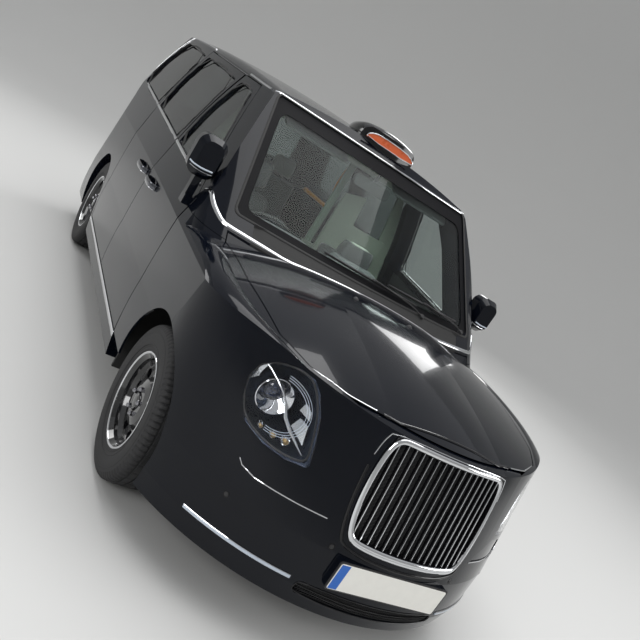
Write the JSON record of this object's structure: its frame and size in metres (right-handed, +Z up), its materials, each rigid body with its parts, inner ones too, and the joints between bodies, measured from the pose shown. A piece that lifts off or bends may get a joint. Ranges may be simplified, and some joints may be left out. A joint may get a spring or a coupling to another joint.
{
  "type": "purpose-built taxi cab",
  "caption": "Black purpose-built town taxi with an upright cabin, domed bonnet, wide barred grille, rear-hinged back doors and a small sign on the roof.",
  "frame": {"origin": "on the ground, under the middle of the vehicle's overall box", "axes": "+Y to the rear, so the front faces -Y; +X to the vehicle's left; +Z up"},
  "size_m": [2.036, 4.8568, 1.888],
  "materials": {
    "body_paint": "gloss",
    "black_trim": "satin",
    "side_glass": "gloss",
    "lamp_lens": "gloss",
    "lamp_bowl": "gloss",
    "red_lens": "gloss",
    "grille_metal": "polished",
    "steel": "satin",
    "iron": "matte",
    "tyre": "matte",
    "wheel_paint": "gloss",
    "cabin_plastic": "matte",
    "seat_cover": "satin",
    "sign_shell": "gloss"
  },
  "bodies": {
    "body": {"quarter_glass": "side_glass", "bodyside_left": "body_paint", "bodyside_right": "body_paint", "roof_panel": "body_paint", "windscreen": "side_glass", "wing_left": "body_paint", "wing_right": "body_paint", "front_bumper": "body_paint", "grille": "grille_metal", "headlamps": "lamp_lens", "lamp_bowls": "lamp_bowl", "tail_lamps": "red_lens", "rear_bumper": "body_paint", "floor_pan": "black_trim", "bulkhead": "black_trim", "front_subframe": "steel", "rear_axle": "iron", "engine_block": "iron", "battery_pack": "steel", "dashboard": "cabin_plastic", "driver_seat": "seat_cover", "partition": "cabin_plastic", "partition_glass": "side_glass", "tip_up_seats": "seat_cover", "rear_bench": "seat_cover", "roof_sign": "sign_shell"},
    "bonnet": {"bonnet": "body_paint"},
    "door_front_left": {"door_front_left": "body_paint", "glass_front_left": "side_glass"},
    "door_front_right": {"door_front_right": "body_paint", "glass_front_right": "side_glass"},
    "door_rear_left": {"door_rear_left": "body_paint", "glass_rear_left": "side_glass"},
    "door_rear_right": {"door_rear_right": "body_paint", "glass_rear_right": "side_glass"},
    "tailgate": {"tailgate": "body_paint", "tailgate_glass": "side_glass"},
    "knuckle_left": {"knuckle_left": "iron"},
    "knuckle_right": {"knuckle_right": "iron"},
    "wheel_front_left": {"tyre_front_left": "tyre", "rim_front_left": "wheel_paint"},
    "wheel_front_right": {"tyre_front_right": "tyre", "rim_front_right": "wheel_paint"},
    "wheel_rear_left": {"tyre_rear_left": "tyre", "rim_rear_left": "wheel_paint"},
    "wheel_rear_right": {"tyre_rear_right": "tyre", "rim_rear_right": "wheel_paint"},
    "steering_wheel": {"steering_wheel": "black_trim"}
  },
  "joints": [
    {"name": "bonnet_hinge", "type": "hinge", "parent": "body", "child": "bonnet", "pos_m": [0, -1.14, 1.1], "axis": [-1, 0, 0], "range_deg": [0, 55]},
    {"name": "front_door_left_hinge", "type": "hinge", "parent": "body", "child": "door_front_left", "pos_m": [0.913, -0.922, 0.71], "axis": [0, 0, -1], "range_deg": [0, 65]},
    {"name": "front_door_right_hinge", "type": "hinge", "parent": "body", "child": "door_front_right", "pos_m": [-0.913, -0.922, 0.71], "axis": [0, 0, 1], "range_deg": [0, 65]},
    {"name": "rear_door_left_hinge", "type": "hinge", "parent": "body", "child": "door_rear_left", "pos_m": [0.913, 1.059, 0.71], "axis": [0, 0, 1], "range_deg": [0, 90]},
    {"name": "rear_door_right_hinge", "type": "hinge", "parent": "body", "child": "door_rear_right", "pos_m": [-0.913, 1.059, 0.71], "axis": [0, 0, -1], "range_deg": [0, 90]},
    {"name": "tailgate_hinge", "type": "hinge", "parent": "body", "child": "tailgate", "pos_m": [0, 2.077, 1.843], "axis": [1, 0, 0], "range_deg": [0, 85]},
    {"name": "steer_left", "type": "hinge", "parent": "body", "child": "knuckle_left", "pos_m": [0.745, -1.528, 0.343], "axis": [0, 0, 1], "range_deg": [-45, 45]},
    {"name": "steer_right", "type": "hinge", "parent": "body", "child": "knuckle_right", "pos_m": [-0.745, -1.528, 0.343], "axis": [0, 0, 1], "range_deg": [-45, 45]},
    {"name": "wheel_front_left_spin", "type": "hinge", "parent": "knuckle_left", "child": "wheel_front_left", "pos_m": [0.805, -1.528, 0.343], "axis": [1, 0, 0], "continuous": true},
    {"name": "wheel_front_right_spin", "type": "hinge", "parent": "knuckle_right", "child": "wheel_front_right", "pos_m": [-0.805, -1.528, 0.343], "axis": [1, 0, 0], "continuous": true},
    {"name": "wheel_rear_left_spin", "type": "hinge", "parent": "body", "child": "wheel_rear_left", "pos_m": [0.805, 1.457, 0.343], "axis": [1, 0, 0], "continuous": true},
    {"name": "wheel_rear_right_spin", "type": "hinge", "parent": "body", "child": "wheel_rear_right", "pos_m": [-0.805, 1.457, 0.343], "axis": [1, 0, 0], "continuous": true},
    {"name": "steering_wheel_turn", "type": "hinge", "parent": "body", "child": "steering_wheel", "pos_m": [-0.4, -0.56, 1.01], "axis": [0, 0.8829, 0.4695], "range_deg": [-640, 640]}
  ],
  "couplings": [
    {"joint": "steer_right", "follows": "steer_left", "ratio": 1},
    {"joint": "steering_wheel_turn", "follows": "steer_left", "ratio": 14}
  ]
}
